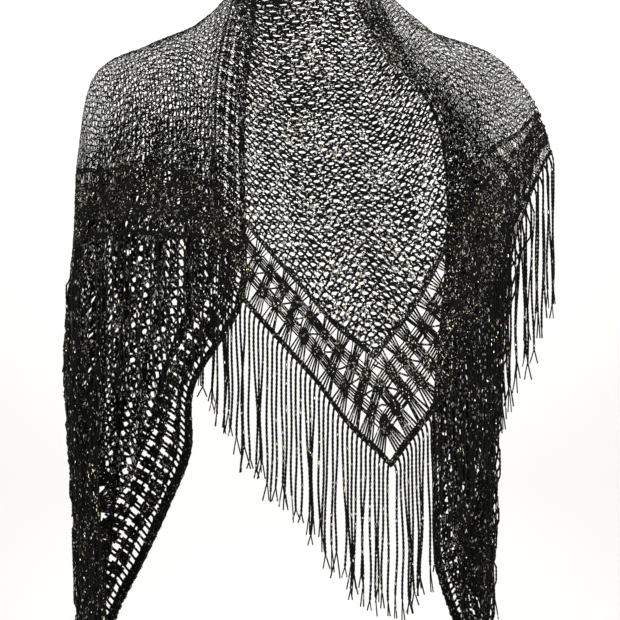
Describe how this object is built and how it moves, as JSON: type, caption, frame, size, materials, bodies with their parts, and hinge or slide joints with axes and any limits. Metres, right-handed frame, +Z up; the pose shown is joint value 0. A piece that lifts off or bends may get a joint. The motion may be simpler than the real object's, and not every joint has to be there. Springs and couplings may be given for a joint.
{
  "type": "lace shawl",
  "caption": "Triangular lace shawl with spider-lace borders and a knotted fringe, worn point forward over both shoulders with its tails hanging behind.",
  "frame": {"origin": "on the wearer's middle line, between the shoulders, at the height of the shoulder tops", "axes": "+Z up, +X to the right as seen from in front, +Y towards the wearer's back"},
  "size_m": [0.4693, 0.2417, 0.8528],
  "materials": {
    "net": "black lace net with a fine metallic thread",
    "border": "black spider lace with a fine metallic thread, slightly olive",
    "fringe": "black knotted yarn with metallic glints"
  },
  "bodies": {
    "root": {"front_net": "net", "neckline": "border", "left_shoulder_net": "net", "right_shoulder_net": "net", "left_tail_net": "net", "right_tail_net": "net", "left_shoulder_edge": "border", "right_shoulder_edge": "border", "left_tail_edge": "border", "right_tail_edge": "border", "front_border": "border", "left_arm_border": "border", "right_arm_border": "border", "left_tail_border": "border", "right_tail_border": "border", "left_tail_tip": "border", "right_tail_tip": "border", "fringe_front_left": "fringe", "fringe_front_right": "fringe", "fringe_left_arm": "fringe", "fringe_right_arm": "fringe", "fringe_left_tail": "fringe", "fringe_right_tail": "fringe"}
  },
  "joints": []
}
